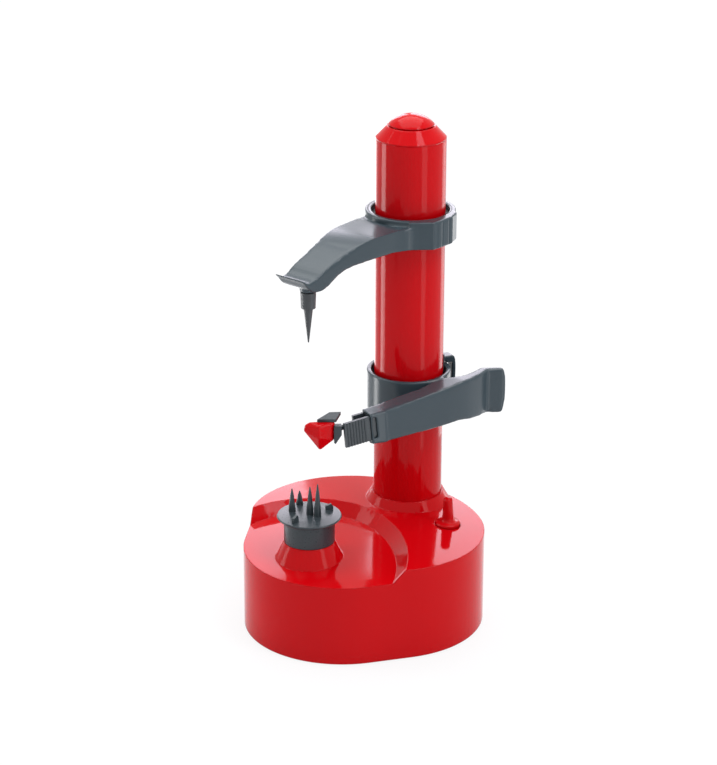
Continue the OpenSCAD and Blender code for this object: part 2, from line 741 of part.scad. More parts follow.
module drive_motor() {
    color(steel) translate([motor_c[0], motor_c[1], motor_bottom]) difference() {
        intersection() {
            cylinder(r = motor_r, h = gear_plate_z - press_fit - motor_bottom);
            translate([-motor_r, -motor_r * motor_flat_share, 0])
                cube([2 * motor_r, 2 * motor_r * motor_flat_share, gear_plate_z]);
        }
        translate([0, 0, gear_plate_z - motor_bottom - motor_bearing_h])
            cylinder(r = motor_shaft_r + run_fit, h = motor_bearing_h + cut);
    }
}

module motor_pinion() {
    color("white") translate([motor_c[0], motor_c[1], 0]) {
        translate([0, 0, gear_z]) gear(pinion_teeth, pinion_phase, 0);
        translate([0, 0, gear_plate_z - motor_bearing_h + body_gap])
            cylinder(r = motor_shaft_r, h = gear_z - gear_plate_z + motor_bearing_h - body_gap + gear_h);
    }
}

module front_idler() {
    color("white") translate([front_c[0], front_c[1], gear_z])
        gear(front_teeth, front_phase, idler_pin_r + run_fit);
}

module rear_idler() {
    color("white") translate([rear_c[0], rear_c[1], gear_z])
        gear(rear_teeth, rear_phase, idler_pin_r + run_fit);
}

module turntable_gear() {
    color("white") translate([turn_c[0], turn_c[1], gear_z])
        gear(turn_teeth, turn_phase, spindle_r + press_fit);
}

module screw_gear() {
    color("white") translate([0, 0, gear_z]) gear(screw_teeth, screw_phase, screw_r + press_fit);
}

module turntable_spindle() {
    color(steel) translate([turn_c[0], turn_c[1], spindle_bottom])
        cylinder(r = spindle_r, h = spindle_top - spindle_bottom);
}

// One tapered prong with a cross-shaped foot
module prong(h) {
    rotate_extrude() polygon([[0, -cut], [prong_r, -cut], for (p = prong_shares) [prong_r * p[0], h * p[1]],
        [prong_tip_r, h], [0, h]]);
    for (a = [0, 90]) rotate(a) rotate([90, 0, 0]) translate([0, 0, -prong_fin_t / 2])
        linear_extrude(prong_fin_t)
        polygon(concat([for (p = prong_fin_shares) [prong_r * p[0], h * p[1] - cut]],
            [for (p = reverse(prong_fin_shares)) [-prong_r * p[0], h * p[1] - cut]]));
}

// Grey disc that the food is pressed on, with prongs and low fins
module turntable() {
    color(slate) translate([turn_c[0], turn_c[1], 0]) difference() {
        union() {
            rotate_extrude() polygon([[0, collar_z + body_gap], [skirt_r, collar_z + body_gap],
                [skirt_r, disc_z - disc_lip - disc_under],
                [disc_r - disc_lip / 2, disc_z - disc_lip], [disc_r, disc_z - disc_lip / 2],
                    [disc_r - disc_lip / 4, disc_z],
                for (p = disc_shares) [disc_r * p[0], disc_z + disc_dome * p[1]]]);
            for (p = prong_place_shares) translate([p[0] * disc_r, p[1] * disc_r, disc_z])
                prong(prong_h * p[2]);
            for (k = [0:len(fin_a) - 1]) translate([fin_place_shares[k][0] * disc_r,
                fin_place_shares[k][1] * disc_r, disc_z])
                rotate(fin_a[k]) translate([0, fin_t / 2, 0]) rotate([90, 0, 0]) linear_extrude(fin_t)
                    polygon(concat([[-fin_len / 2, -cut], [fin_len / 2, -cut]],
                        stretch(fin_shares, fin_len, fin_h)));
        }
        translate([0, 0, collar_z - cut]) cylinder(r = spindle_r + press_fit,
            h = spindle_top + press_fit - collar_z + cut);
    }
}

module lead_screw() {
    color(steel) translate([0, 0, screw_bottom]) cylinder(r = screw_r, h = screw_top - screw_bottom);
}

module bush(z) {
    color("gainsboro") translate([0, 0, z]) difference() {
        cylinder(r = bush_r, h = bush_h);
        translate([0, 0, -cut]) cylinder(r = screw_r + run_fit, h = bush_h + 2 * cut);
    }
}

module lower_bush() {
    bush(lower_bush_z);
}

module upper_bush() {
    bush(upper_bush_z);
}

module slot_bar(r1, r2, w, z1, z2) {
    rotate(slot_angle) translate([r1, -w / 2, z1]) cube([r2 - r1, w, z2 - z1]);
}

module column_tube() {
    color(red) difference() {
        translate([0, 0, tube_bottom]) cylinder(r = column_r, h = column_top - cone_seam - tube_bottom);
        translate([0, 0, tube_bottom - cut]) cylinder(r = column_r - column_wall, h = column_top);
        slot_bar(key_in - cut, column_r + cut, slot_w, slot_bottom, slot_top);
    }
}

// Cone that closes the column, with the seat of the dome
module column_cone() {
    color(red) translate([0, 0, column_top]) rotate_extrude()
        polygon([[column_r - column_wall - cone_wall, -cone_plug_h],
        [column_r - column_wall - press_fit, -cone_plug_h], [column_r - column_wall - press_fit, -cone_seam],
            [column_r, -cone_seam],
        [column_r, 0], [column_r - cone_w, cone_h], [dome_wall_r, cone_h], [dome_wall_r, -dome_sink],
        [column_r - column_wall - cone_wall, -dome_sink]]);
}

module column_dome() {
    color(red) translate([0, 0, column_top + cone_h]) rotate_extrude() union() {
        polygon([[0, -dome_sink], [dome_wall_r - press_fit, -dome_sink], [dome_wall_r - press_fit, 0],
            [dome_r - dome_groove, press_fit],
            [dome_r - dome_groove, dome_lip / 2], [dome_r, dome_lip], [0, dome_lip]]);
        intersection() {
            translate([0, dome_h + dome_lip - dome_ball_r]) circle(r = dome_ball_r, $fn = 360);
            translate([0, dome_lip]) square([dome_r, dome_h]);
        }
    }
}

module stop_button() {
    color(red) translate([stop_x, -stop_y, 0]) rotate_extrude()
        polygon([[0, stop_stem_bottom], [stop_stem_r, stop_stem_bottom],
        [stop_stem_r, stop_flange_top - stop_flange_t], [stop_flange_r, stop_flange_top - stop_flange_t],
        [stop_flange_r, stop_flange_top - stop_fillet / 2], [stop_flange_r - stop_fillet / 2,
            stop_flange_top],
        [stop_peg_r + stop_fillet, stop_flange_top], [stop_peg_r + stop_fillet / 3,
            stop_flange_top + stop_fillet / 3],
        [stop_peg_r, stop_flange_top + stop_fillet], [stop_peg_r * stop_top_share, stop_top_z - stop_fillet],
        [stop_peg_r * stop_top_share - stop_fillet / 3, stop_top_z - stop_fillet / 3],
            [stop_peg_r * stop_top_share - stop_fillet, stop_top_z],
        [0, stop_top_z]]);
}

module stop_switch() {
    color("#1c1c1c") translate([stop_x, -stop_y, switch_top - switch_h]) {
        translate([-switch_len / 2, -switch_w / 2, 0]) cube([switch_len, switch_w, switch_h]);
        cylinder(r = switch_key_r, h = switch_h + switch_key_h);
    }
}

// Plan of the food holder's arm
module holder_plan() {
    polygon(concat([for (p = curve(holder_half_shares, curve_n))
        [p[1] * holder_root_w, -p[0] * holder_reach]],
        [for (p = reverse(curve(holder_half_shares, curve_n))) [-p[1] * holder_root_w,
            -p[0] * holder_reach]]));
}

// Ring and arched arm of the food holder, one moulding
module holder_arm() {
    color(slate) difference() {
        union() {
            translate([0, 0, holder_bottom]) cylinder(r = holder_r, h = holder_h);
            translate([0, 0, holder_bottom]) linear_extrude(holder_h)
                polygon([for (p = pad_shares) [p[0] * holder_pad_x, p[1] * holder_pad_x]]);
            for (k = [0:grip_n - 1]) translate([holder_pad_x, k * grip_pitch - grip_start,
                holder_bottom + grip_r])
                cylinder(r = grip_r, h = holder_h - 2 * grip_r);
            difference() {
                intersection() {
                    translate([0, 0, spike_tip_z]) linear_extrude(holder_z) {
                        holder_plan();
                        polygon(stretch(flank_shares, holder_pad_x, holder_pad_x));
                    }
                    rotate([90, 0, 90]) translate([0, 0, -holder_pad_x]) linear_extrude(2 * holder_pad_x)
                        polygon([for (p = concat(curve(holder_top_shares, curve_n),
                            curve(holder_under_shares, curve_n)))
                            [-p[0] * holder_reach, holder_z + p[1] * holder_h]]);
                }
                translate([0, -holder_r, holder_z - holder_rim - holder_dish]) rotate([90, 0, 0])
                    linear_extrude(holder_dish_end - holder_r)
                    polygon([[0, 0], [holder_root_w, holder_dish], [-holder_root_w, holder_dish]]);
            }
            translate([0, -turn_y, boss_bottom]) cylinder(r = spike_boss_r,
                h = journal_top + cut - boss_bottom);
        }
        translate([0, 0, holder_bottom - cut]) cylinder(r = holder_hole_r, h = holder_h + 2 * cut);
        translate([0, -turn_y, boss_bottom - cut]) cylinder(r = journal_r + run_fit,
            h = journal_top + body_gap + cut - boss_bottom);
        slot_bar(column_r, holder_r + cut, latch_w + 2 * latch_gap, latch_z - latch_h / 2 - latch_gap,
            latch_z + latch_h / 2 + latch_gap);
    }
}

// Smooth bush in the holder's ring, keyed in the column's slot
module holder_guide() {
    color("#3a4146") difference() {
        union() {
            translate([0, 0, guide_z]) difference() {
                cylinder(r = guide_r, h = guide_h);
                translate([0, 0, -cut]) cylinder(r = guide_in, h = guide_h + 2 * cut);
            }
            slot_bar(key_in, guide_in + press_fit, key_w, guide_z, guide_z + guide_h);
        }
        slot_bar(key_in - cut, guide_r + cut, latch_w + 2 * latch_gap, latch_z - latch_h / 2 - latch_gap,
            latch_z + latch_h / 2 + latch_gap);
    }
}

// Pawl that holds the holder at its height, pulled out by the notch in its end
module holder_latch() {
    color(dark) difference() {
        slot_bar(latch_in, latch_out, latch_w, latch_z - latch_h / 2, latch_z + latch_h / 2);
        slot_bar(latch_out - latch_notch_deep, latch_out + cut, latch_w + cut, latch_z - latch_notch / 2,
            latch_z + latch_notch / 2);
    }
}

module spike_socket() {
    color(dark) translate([0, -turn_y, 0]) difference() {
        union() {
            translate([0, 0, socket_z]) cylinder(r1 = socket_r - socket_taper, r2 = socket_r,
                h = boss_bottom - body_gap - socket_z);
            translate([0, 0, socket_z + cut]) cylinder(r = journal_r, h = journal_top - socket_z - cut);
        }
        translate([0, 0, socket_z - cut]) cylinder(r = shank_r + press_fit, h = shank_h + press_fit + cut);
    }
}

module food_spike() {
    color("#4a4647") translate([0, -turn_y, 0]) {
        translate([0, 0, spike_tip_z]) cylinder(r1 = spike_tip_r, r2 = spike_r,
            h = socket_z - press_fit - spike_tip_z);
        translate([0, 0, socket_z - cut]) cylinder(r = shank_r, h = shank_h + cut);
    }
}

// Sleeve that the arm swings on, keyed in the slot, with the guide of the release button
module carriage_sleeve() {
    color("#3a4146") difference() {
        union() {
            translate([0, 0, sleeve_z]) difference() {
                union() {
                    cylinder(r = sleeve_out, h = sleeve_top - sleeve_z);
                    cylinder(r = sleeve_flange_r, h = sleeve_flange_h);
                }
                translate([0, 0, -cut]) cylinder(r = sleeve_in, h = ring_h);
            }
            slot_bar(rail_in, sleeve_in + press_fit, key_w, sleeve_z, rail_top);
            slot_bar(sleeve_in, rail_out, key_w, sleeve_top - cut, rail_top);
        }
        slot_bar(rail_in - cut, rail_out + cut, button_w + 2 * run_fit, button_z - run_fit,
            button_z + button_t + run_fit);
    }
}

// Push button that draws the half nut off the lead screw
module release_button() {
    color(slate) difference() {
        union() {
            slot_bar(rail_in - cut, tab_in, button_w, button_z, button_z + button_t);
            slot_bar(yoke_in, rail_in - body_gap, yoke_w, button_z, button_z + button_t);
            rotate(slot_angle) translate([0, button_w / 2, 0]) rotate([90, 0, 0]) linear_extrude(button_w)
                polygon(concat([[web_in, web_z], [tab_in, web_z], [tab_in, tab_bottom + tab_round],
                    [tab_in + tab_t / 2, tab_bottom]], curve([[tab_in + tab_t, tab_bottom],
                    [tab_in + tab_t + tab_lean, (button_z + tab_bottom) / 2],
                        [tab_in + tab_t, button_z + button_t - tab_round],
                    [tab_in + tab_t - tab_round, button_z + button_t], [web_in,
                        button_z + button_t - tab_slope]], curve_n)));
        }
        rotate(slot_angle) for (r = [0, button_travel + nut_play]) translate([r, 0, button_z - cut])
            cylinder(r = screw_r + yoke_gap, h = button_t + 2 * cut);
        rotate(slot_angle) translate([0, -screw_r - yoke_gap, button_z - cut])
            cube([button_travel + nut_play, 2 * (screw_r + yoke_gap), button_t + 2 * cut]);
    }
}

module half_nut() {
    color("gainsboro") rotate(slot_angle) difference() {
        translate([-screw_r - nut_play - nut_t, -nut_w / 2, button_z - nut_h])
            cube([nut_t + nut_share * screw_r, nut_w, nut_h - press_fit]);
        translate([0, 0, button_z - nut_h - cut]) cylinder(r = screw_r + nut_play, h = nut_h + 2 * cut);
    }
}

// Outer face and inner edge of the peeler arm, seen from above
function arm_outer() = stretch(curve(arm_outer_shares, curve_n), arm_side, arm_reach);
function arm_inner() = stretch(curve(arm_inner_shares, curve_n), arm_side, arm_reach);

// Side view of the peeler arm, with its top let down by lift and its underside by drop
module arm_side_view(lift, drop) {
    rotate([90, 0, 90]) linear_extrude(2 * arm_side) polygon(concat(
        [[-arm_reach - 2 * cut, ring_z - arm_tip_drop - lift], [arm_top_flat, ring_z - lift],
            [paddle_back * paddle_end_share, ring_z - lift]],
        reverse([for (p = curve(arm_under_shares, curve_n)) [p[0] * arm_reach,
            ring_z + p[1] * ring_h - drop]])));
}

module arm_bar(lift, drop, outline) {
    intersection() {
        translate([0, 0, ring_bottom - ring_h]) linear_extrude(2 * ring_h + cut) polygon(outline);
        arm_side_view(lift, drop);
    }
}

// Frame of the cassette: +X out of the arm's tip, +Y to its outer face
module in_cassette() {
    translate(tip_c) rotate([0, 0, cassette_a]) rotate([0, cassette_tilt, 0]) children();
}

// Ring, curved arm and thumb paddle, one moulding that is open underneath
module peeler_arm() {
    color(slate) difference() {
        union() {
            translate([0, 0, ring_bottom]) cylinder(r = ring_r, h = ring_h);
            difference() {
                arm_bar(0, 0, concat(arm_outer(), arm_inner()));
                arm_bar(arm_floor, ring_h, concat(left_of(part(arm_outer(), 6, 23), arm_wall),
                    left_of(part(arm_inner(), 6, 24), arm_wall)));
            }
            intersection() {
                arm_bar(0, 0, stretch(paddle_shares, arm_side, paddle_back));
                translate([0, 0, ring_z]) rotate(paddle_a) rotate([90, 0, 0]) translate([0, 0, -arm_side])
                    linear_extrude(2 * arm_side) polygon(stretch(paddle_edge_shares, paddle_tip, ring_h));
            }
            intersection() {
                in_cassette() translate([-cassette_in - socket_shell, -plate_gap / 2 - socket_shell,
                    -plate_h])
                    cube([cassette_in + socket_shell, plate_gap + 2 * socket_shell, 2 * plate_h]);
                arm_side_view(0, 0);
            }
        }
        translate([0, 0, ring_bottom - ring_h]) cylinder(r = ring_hole_r, h = 3 * ring_h);
        translate([0, 0, ring_bottom - cut]) cylinder(r = seat_r, h = seat_z - ring_bottom + cut);
        in_cassette() {
            translate([-cassette_in, -plate_gap / 2 - socket_gap, -plate_h / 2 - socket_gap])
                cube([cassette_in + plate_len, plate_gap + 2 * socket_gap, plate_h + 2 * socket_gap]);
            translate([-window_in, 0, -window_h / 2]) cube([window_w, plate_gap, window_h]);
        }
    }
}

// Clip-in cassette: root in the arm's tip, ribbed front plate and short rear plate
module blade_cassette() {
    color(slate) in_cassette() difference() {
        union() {
            translate([-cassette_in + socket_gap, -plate_gap / 2, -plate_h / 2])
                cube([cassette_in - socket_gap, plate_gap, plate_h]);
            translate([-cut, plate_gap / 2 - plate_thick, -plate_h / 2])
                cube([plate_len + cut, plate_thick, plate_h]);
            translate([-cut, -plate_gap / 2, -plate_h / 2]) cube([plate_len * rear_plate_share + cut,
                plate_thick, plate_h]);
            for (k = [0:plate_ribs - 1]) translate([plate_len - (k + 1) * rib_pitch, plate_gap / 2,
                -plate_h / 2])
                cylinder(r = plate_rib_r, h = plate_h, $fn = 24);
        }
        translate([-neck_in - body_gap, 0, neck_rise]) rotate([0, 90, 0])
            cylinder(r = neck_r + run_fit, h = neck_in + body_gap + cut);
    }
}

// Frame of the blade head: +X away from the neck, +Y towards the near side
module in_head() {
    translate(head_c) rotate([0, 0, head_a]) children();
}

// Block at the end of the neck, made larger by grow on its sides
module head_block(grow) {
    translate([0, block_w / 2 + grow, 0]) rotate([90, 0, 0]) linear_extrude(block_w + 2 * grow)
        offset(delta = grow) polygon(stretch(block_shares, head_w, head_h));
}

// Round neck that the head swivels on, with the block at its end
module blade_neck() {
    color(slate) {
        in_cassette() translate([-neck_in, 0, neck_rise]) rotate([0, 90, 0])
            cylinder(r = neck_r, h = neck_in + neck_out);
        in_cassette() translate([body_gap, 0, neck_rise]) rotate([0, 90, 0])
            cylinder(r = neck_flange_r, h = neck_flange_t);
        in_head() head_block(0);
    }
}

// Rounded scoop through the corners of the guard, its corners drawn in by d
module guard_form(d, back) {
    hull() for (p = guard_shares) for (y = [0, -back])
        translate([p[0] * head_w, p[1] * head_depth + y, p[2] * head_h])
            sphere(r = guard_r - d, $fn = hull_fn);
}

module blade_guard() {
    color(red) in_head() difference() {
        guard_form(0, 0);
        guard_form(guard_t, head_depth);
        head_block(press_fit);
        blade_bar(press_fit);
    }
}

module blade_clip() {
    color(slate) in_head() translate([0, 0, clip_z]) rotate([-clip_tilt, 0, 0]) linear_extrude(clip_t)
        polygon(stretch(clip_shares, head_w, clip_back));
}

// Bar that the blade is cut from, made larger by grow on every side
module blade_bar(grow) {
    translate([blade_x - grow, blade_y - blade_t - grow, blade_z - grow])
        cube([blade_len + 2 * grow, blade_t + 2 * grow, blade_w + 2 * grow]);
}

module peeler_blade() {
    color(steel) in_head() difference() {
        blade_bar(0);
        translate([blade_x + blade_end, blade_y - blade_t - cut, blade_z + (blade_w - blade_slit) / 2])
            cube([blade_len - 2 * blade_end, blade_t + 2 * cut, blade_slit]);
    }
}

base_housing();
base_plate();
battery_door();
battery_cells();
battery_contacts();
rubber_feet();
base_screws();
gear_plate();
drive_motor();
motor_pinion();
front_idler();
rear_idler();
turntable_gear();
turntable_spindle();
turntable();
lead_screw();
screw_gear();
lower_bush();
upper_bush();
column_tube();
column_cone();
column_dome();
stop_button();
stop_switch();
holder_arm();
holder_guide();
holder_latch();
spike_socket();
food_spike();
carriage_sleeve();
release_button();
half_nut();
peeler_arm();
blade_cassette();
blade_neck();
blade_guard();
blade_clip();
peeler_blade();
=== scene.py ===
import math

import bmesh
import bpy
from mathutils import Matrix, Vector


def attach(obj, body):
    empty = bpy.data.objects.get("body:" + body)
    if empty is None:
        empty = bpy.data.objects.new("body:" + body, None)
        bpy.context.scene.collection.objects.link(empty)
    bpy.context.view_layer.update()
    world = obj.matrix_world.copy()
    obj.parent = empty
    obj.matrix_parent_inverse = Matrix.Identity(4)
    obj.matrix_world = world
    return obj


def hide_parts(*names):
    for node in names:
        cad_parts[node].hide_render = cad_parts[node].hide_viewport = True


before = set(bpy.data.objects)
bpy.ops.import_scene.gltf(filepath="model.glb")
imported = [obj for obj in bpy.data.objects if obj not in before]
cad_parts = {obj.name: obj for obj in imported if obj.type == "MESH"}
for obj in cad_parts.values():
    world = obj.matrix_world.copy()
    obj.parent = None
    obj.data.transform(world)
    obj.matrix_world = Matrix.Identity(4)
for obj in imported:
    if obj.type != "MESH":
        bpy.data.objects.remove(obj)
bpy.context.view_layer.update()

# Camera
# The photograph looks down at the machine from its front right corner, through a long lens.
# Its picture is 717 by 765 pixels, upright, and the focal length is given in those pixels.
# All other sizes and places are in metres.
scene = bpy.context.scene
scene.view_settings.view_transform = "Standard"
eye = Vector((0.8753, -1.0725, 0.6772))
look = Vector((-0.6037, 0.7081, -0.3664))
roll = math.radians(0.17)
picture_height = 765
focal_pixels = 2500
sensor_height = 36
photo_camera = bpy.data.objects.new("photo_camera", bpy.data.cameras.new("photo_camera"))
scene.collection.objects.link(photo_camera)
photo_camera.data.sensor_fit = "VERTICAL"
photo_camera.data.sensor_height = sensor_height
photo_camera.data.lens = sensor_height * focal_pixels / picture_height
photo_camera.data.clip_start = 0.01
photo_camera.data.clip_end = 60
turned = look.to_track_quat("-Z", "Y").to_matrix() @ Matrix.Rotation(roll, 3, "Z")
photo_camera.matrix_world = Matrix.Translation(eye) @ turned.to_4x4()
scene.camera = photo_camera


# Worktop
# A plain white sheet that runs out of sight under the machine and keeps its soft shadow. In
# reflections alone it is bright in four directions from the machine, which gives the glossy
# column its upright bands.
class Value:
    """A socket of a finish, used in sums."""

    def __init__(self, finish, socket):
        self.finish = finish
        self.socket = socket

    def sum(self, operation, a, b):
        return self.finish.node("Math", {"operation": operation}, [a, b])

    def __add__(self, other):
        return self.sum("ADD", self, other)

    def __radd__(self, other):
        return self.sum("ADD", other, self)

    def __mul__(self, other):
        return self.sum("MULTIPLY", self, other)

    def __rmul__(self, other):
        return self.sum("MULTIPLY", other, self)

    def __gt__(self, other):
        return self.sum("GREATER_THAN", self, other)


class Finish:
    """The nodes of one material or of the world."""

    def __init__(self, owner):
        self.owner = owner
        owner.use_nodes = True
        self.tree = owner.node_tree
        self.tree.nodes.clear()

    def node(self, kind, settings=None, sockets=(), out=0):
        made = self.tree.nodes.new("ShaderNode" + kind)
        for name, value in (settings or {}).items():
            setattr(made, name, value)
        for name, value in (sockets.items() if isinstance(sockets, dict) else enumerate(sockets)):
            if isinstance(value, Value):
                self.tree.links.new(value.socket, made.inputs[name])
            else:
                made.inputs[name].default_value = value
        return Value(self, made.outputs[out]) if len(made.outputs) else None

    def mix(self, share, a, b):
        """Two colours mixed. Sockets 0, 6, 7 and output 2 are the ones that Mix has for colours."""
        return self.node("Mix", {"data_type": "RGBA"}, {0: share, 6: a, 7: b}, out=2)


worktop_reach = 6
worktop_mesh = bmesh.new()
bmesh.ops.create_grid(worktop_mesh, x_segments=8, y_segments=8, size=worktop_reach)
worktop = bpy.data.objects.new("worktop", bpy.data.meshes.new("worktop"))
worktop_mesh.to_mesh(worktop.data)
scene.collection.objects.link(worktop)

white_top = Finish(bpy.data.materials.new("white_worktop"))
seen = white_top.node("LightPath", out="Is Camera Ray")
mirrored = white_top.node("LightPath", out="Is Glossy Ray")
paper = white_top.node("BsdfDiffuse", None, {"Color": (0.82, 0.82, 0.83, 1)})
glow = white_top.node("Emission", None, {"Color": (1, 1, 1, 1), "Strength": 1})
lamp = white_top.node("Emission", None, {"Color": (1, 1, 1, 1), "Strength": 10})
place = white_top.node("TexCoord", out="Object")
to_the_right = white_top.node("SeparateXYZ", None, [place], out="X")
to_the_back = white_top.node("SeparateXYZ", None, [place], out="Y")
away = white_top.node("VectorMath", {"operation": "LENGTH"}, [place], out="Value")
bearing = white_top.node("Math", {"operation": "ARCTAN2"}, [to_the_back, to_the_right])


def beam(centre, half_width, share):
    """How much of the lamp a direction takes. Centre and half width are in radians."""
    return share * white_top.node("Math", {"operation": "COMPARE"}, [bearing, centre, half_width])


beams = (beam(centre=-2.58, half_width=0.11, share=1)
    + beam(centre=-0.11, half_width=0.1, share=0.25)
    + beam(centre=1.5, half_width=0.2, share=0.2)
    + beam(centre=2.6, half_width=0.3, share=0.2))
clear_of_base = 0.25
glow_seen = 0.86
glow_mirrored = 0.55
plain_top = white_top.node("MixShader", None, [glow_seen * seen + glow_mirrored * mirrored, paper, glow])
lamp_share = mirrored * beams * (away > clear_of_base)
white_top.node("OutputMaterial", None, [white_top.node("MixShader", None, [lamp_share, plain_top, lamp])])
worktop.data.materials.append(white_top.owner)

# Studio
# A pale room that looks white, with six soft boxes: overhead, left, right, two behind the
# machine as the camera sees it, and one high on the right. The last three are faintly violet.
world = bpy.data.worlds.new("studio")
scene.world = world
studio = Finish(world)
room = studio.node("Background", None, {"Color": (0.94, 0.97, 1, 1), "Strength": 0.55})
white = studio.node("Background", None, {"Color": (1, 1, 1, 1), "Strength": 1})
direct = studio.node("LightPath", out="Is Camera Ray")
reflected = studio.node("LightPath", out="Is Glossy Ray")
through = studio.node("LightPath", out="Is Transmission Ray")
white_share = direct + reflected + through
studio.node("OutputWorld", None, [studio.node("MixShader", None, [white_share, room, white])])


def soft_box(name, at, aim, width, height, watts, colour=(1, 1, 1)):
    box = bpy.data.objects.new(name, bpy.data.lights.new(name, "AREA"))
    box.data.shape = "RECTANGLE"
    box.data.size = width
    box.data.size_y = height
    box.data.energy = watts
    box.data.color = colour
    box.location = at
    box.rotation_euler = (Vector(aim) - Vector(at)).to_track_quat("-Z", "Y").to_euler()
    box.visible_camera = False
    scene.collection.objects.link(box)


violet = (1, 0.94, 1.08)
pale_violet = (1, 0.96, 1.06)
soft_box("top_box", at=(-0.3, 0.3, 1.6), aim=(0, -0.05, 0.1), width=1.5, height=1.5, watts=20)
soft_box("left_box", at=(-1.4, -0.9, 0.9), aim=(0, 0, 0.15), width=0.5, height=1.6, watts=9)
soft_box("right_box", at=(1.5, 0.1, 0.8), aim=(0, 0, 0.15), width=0.4, height=1.6, watts=6)
soft_box("back_left_box", at=(-1.957, 1.556, 1.0), aim=(0, 0, 0.1), width=0.65, height=1.1, watts=9,
    colour=violet)
soft_box("back_right_box", at=(-1.3, 2.135, 1.0), aim=(0, 0, 0.1), width=0.75, height=1.1, watts=11,
    colour=violet)
soft_box("front_box", at=(0.8, -0.05, 1.5), aim=(0, 0, 0.25), width=0.6, height=0.6, watts=8,
    colour=pale_violet)


# Red mouldings
# Housing, column, cone, dome, stop button and the guard of the blade are moulded in one
# glossy red plastic, smooth from polished tools, with a faint ripple in the skin.
def mottle(finish, scale, detail):
    """An unevenness from 0 to 1 that is fixed to the piece."""
    on_piece = finish.node("TexCoord", out="Object")
    return finish.node("TexNoise", None, {"Vector": on_piece, "Scale": scale, "Detail": detail})


def relief(finish, height, strength, depth, edge_radius):
    """The normal of a surface raised by height, over edges that look rounded."""
    edges = finish.node("Bevel", {"samples": 4}, {"Radius": edge_radius})
    sockets = {"Strength": strength, "Distance": depth, "Height": height, "Normal": edges}
    return finish.node("Bump", None, sockets)


def surface(finish, sockets):
    """Ends a finish with its one shader."""
    finish.node("OutputMaterial", None, [finish.node("BsdfPrincipled", None, sockets)])


light_red = (0.54, 0.001, 0.004, 1)
deep_red = (0.48, 0.001, 0.003, 1)
red_gloss = Finish(bpy.data.materials.new("red_gloss_plastic"))
ripple = mottle(red_gloss, scale=60, detail=2)
haze = mottle(red_gloss, scale=9, detail=3)
surface(red_gloss, {
    "Base Color": red_gloss.mix(haze, light_red, deep_red),
    "Roughness": 0.05 + 0.05 * haze,
    "IOR": 1.22,
    "Normal": relief(red_gloss, ripple, strength=0.04, depth=0.0004, edge_radius=0.001)})


def copy_of(name):
    """The shape of a CAD node, to be worked on and fitted in its place."""
    piece = bpy.data.objects.new(name + "_skin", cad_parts[name].data.copy())
    scene.collection.objects.link(piece)
    return piece


def fit(piece, name, body, finish):
    """Puts a finished piece in the place of its CAD node."""
    piece.data.materials.clear()
    piece.data.materials.append(finish.owner)
    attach(piece, body)
    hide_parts(name)


def ease(piece, rounds, softer=None):
    """Smooths a piece. Where softer is given, it says from 0 to 1 how much each point gives way."""
    easing = piece.modifiers.new("easing", "SMOOTH")
    easing.factor = 0.5
    easing.iterations = rounds
    if softer:
        shades = 10
        group = piece.vertex_groups.new(name="soft")
        for shade in range(1, shades + 1):
            points = [v.index for v in piece.data.vertices if round(shades * softer(v.co)) == shade]
            group.add(points, shade / shades, "REPLACE")
        easing.vertex_group = group.name
    smoothed = piece.evaluated_get(bpy.context.evaluated_depsgraph_get())
    piece.data = bpy.data.meshes.new_from_object(smoothed)
    piece.modifiers.clear()
    piece.vertex_groups.clear()


def moulding(name, body, finish, cell, rounds, softer=None, soft_rounds=0, raised=None):
    """A CAD node in fine cells with eased edges, which may be raised and eased again in places."""
    piece = copy_of(name)
    cells = piece.modifiers.new("cells", "REMESH")
    cells.mode = "VOXEL"
    cells.voxel_size = cell
    ease(piece, rounds)
    if raised:
        for v in piece.data.vertices:
            v.co.z = raised(v.co)
    if softer:
        ease(piece, soft_rounds, softer)
    piece.data.shade_smooth()
    fit(piece, name, body, finish)


def polished(name, body, finish, crease):
    """A CAD node shaded smooth, but for edges that turn by more than the crease, in degrees."""
    weld_gap = 1e-6
    sliver = 1e-7
    piece = copy_of(name)
    welded = bmesh.new()
    welded.from_mesh(piece.data)
    bmesh.ops.remove_doubles(welded, verts=welded.verts, dist=weld_gap)
    bmesh.ops.dissolve_degenerate(welded, edges=welded.edges, dist=sliver)
    piece.data.clear_geometry()
    welded.to_mesh(piece.data)
    piece.data.shade_smooth()
    piece.data.set_sharp_from_angle(angle=math.radians(crease))
    fit(piece, name, body, finish)


moulding("blade_guard", "head", red_gloss, cell=0.0003, rounds=10)
polished("base_housing", "base", red_gloss, crease=7)
for name in ("column_tube", "column_cone", "column_dome"):
    polished(name, "base", red_gloss, crease=24)
polished("stop_button", "stop", red_gloss, crease=24)

# Slate mouldings
# The food holder, the peeler arm and the release button are moulded in slate grey plastic
# with a fine satin grain and soft edges. The holder and the arm ride on the column.
light_slate = (0.037, 0.056, 0.067, 1)
deep_slate = (0.030, 0.047, 0.057, 1)
slate_satin = Finish(bpy.data.materials.new("slate_satin_plastic"))
grain = mottle(slate_satin, scale=900, detail=2)
cloud = mottle(slate_satin, scale=25, detail=3)
surface(slate_satin, {
    "Base Color": slate_satin.mix(cloud, deep_slate, light_slate),
    "Roughness": 0.2 + 0.08 * cloud,
    "IOR": 1.4,
    "Normal": relief(slate_satin, grain, strength=0.1, depth=0.0001, edge_radius=0.0005)})


def past(value, limit, fade):
    """0 up to the limit, and from there up to 1 over the fade."""
    return max(0, min(1, (value - limit) / fade))


lip_edge = -0.088
arch_root = -0.026
arch_fade = 0.006


def on_arch(p):
    """Where the food holder is eased again: its arch, without the lip and the ring."""
    return past(p.y, lip_edge, arch_fade) * past(-p.y, -arch_root, arch_fade)


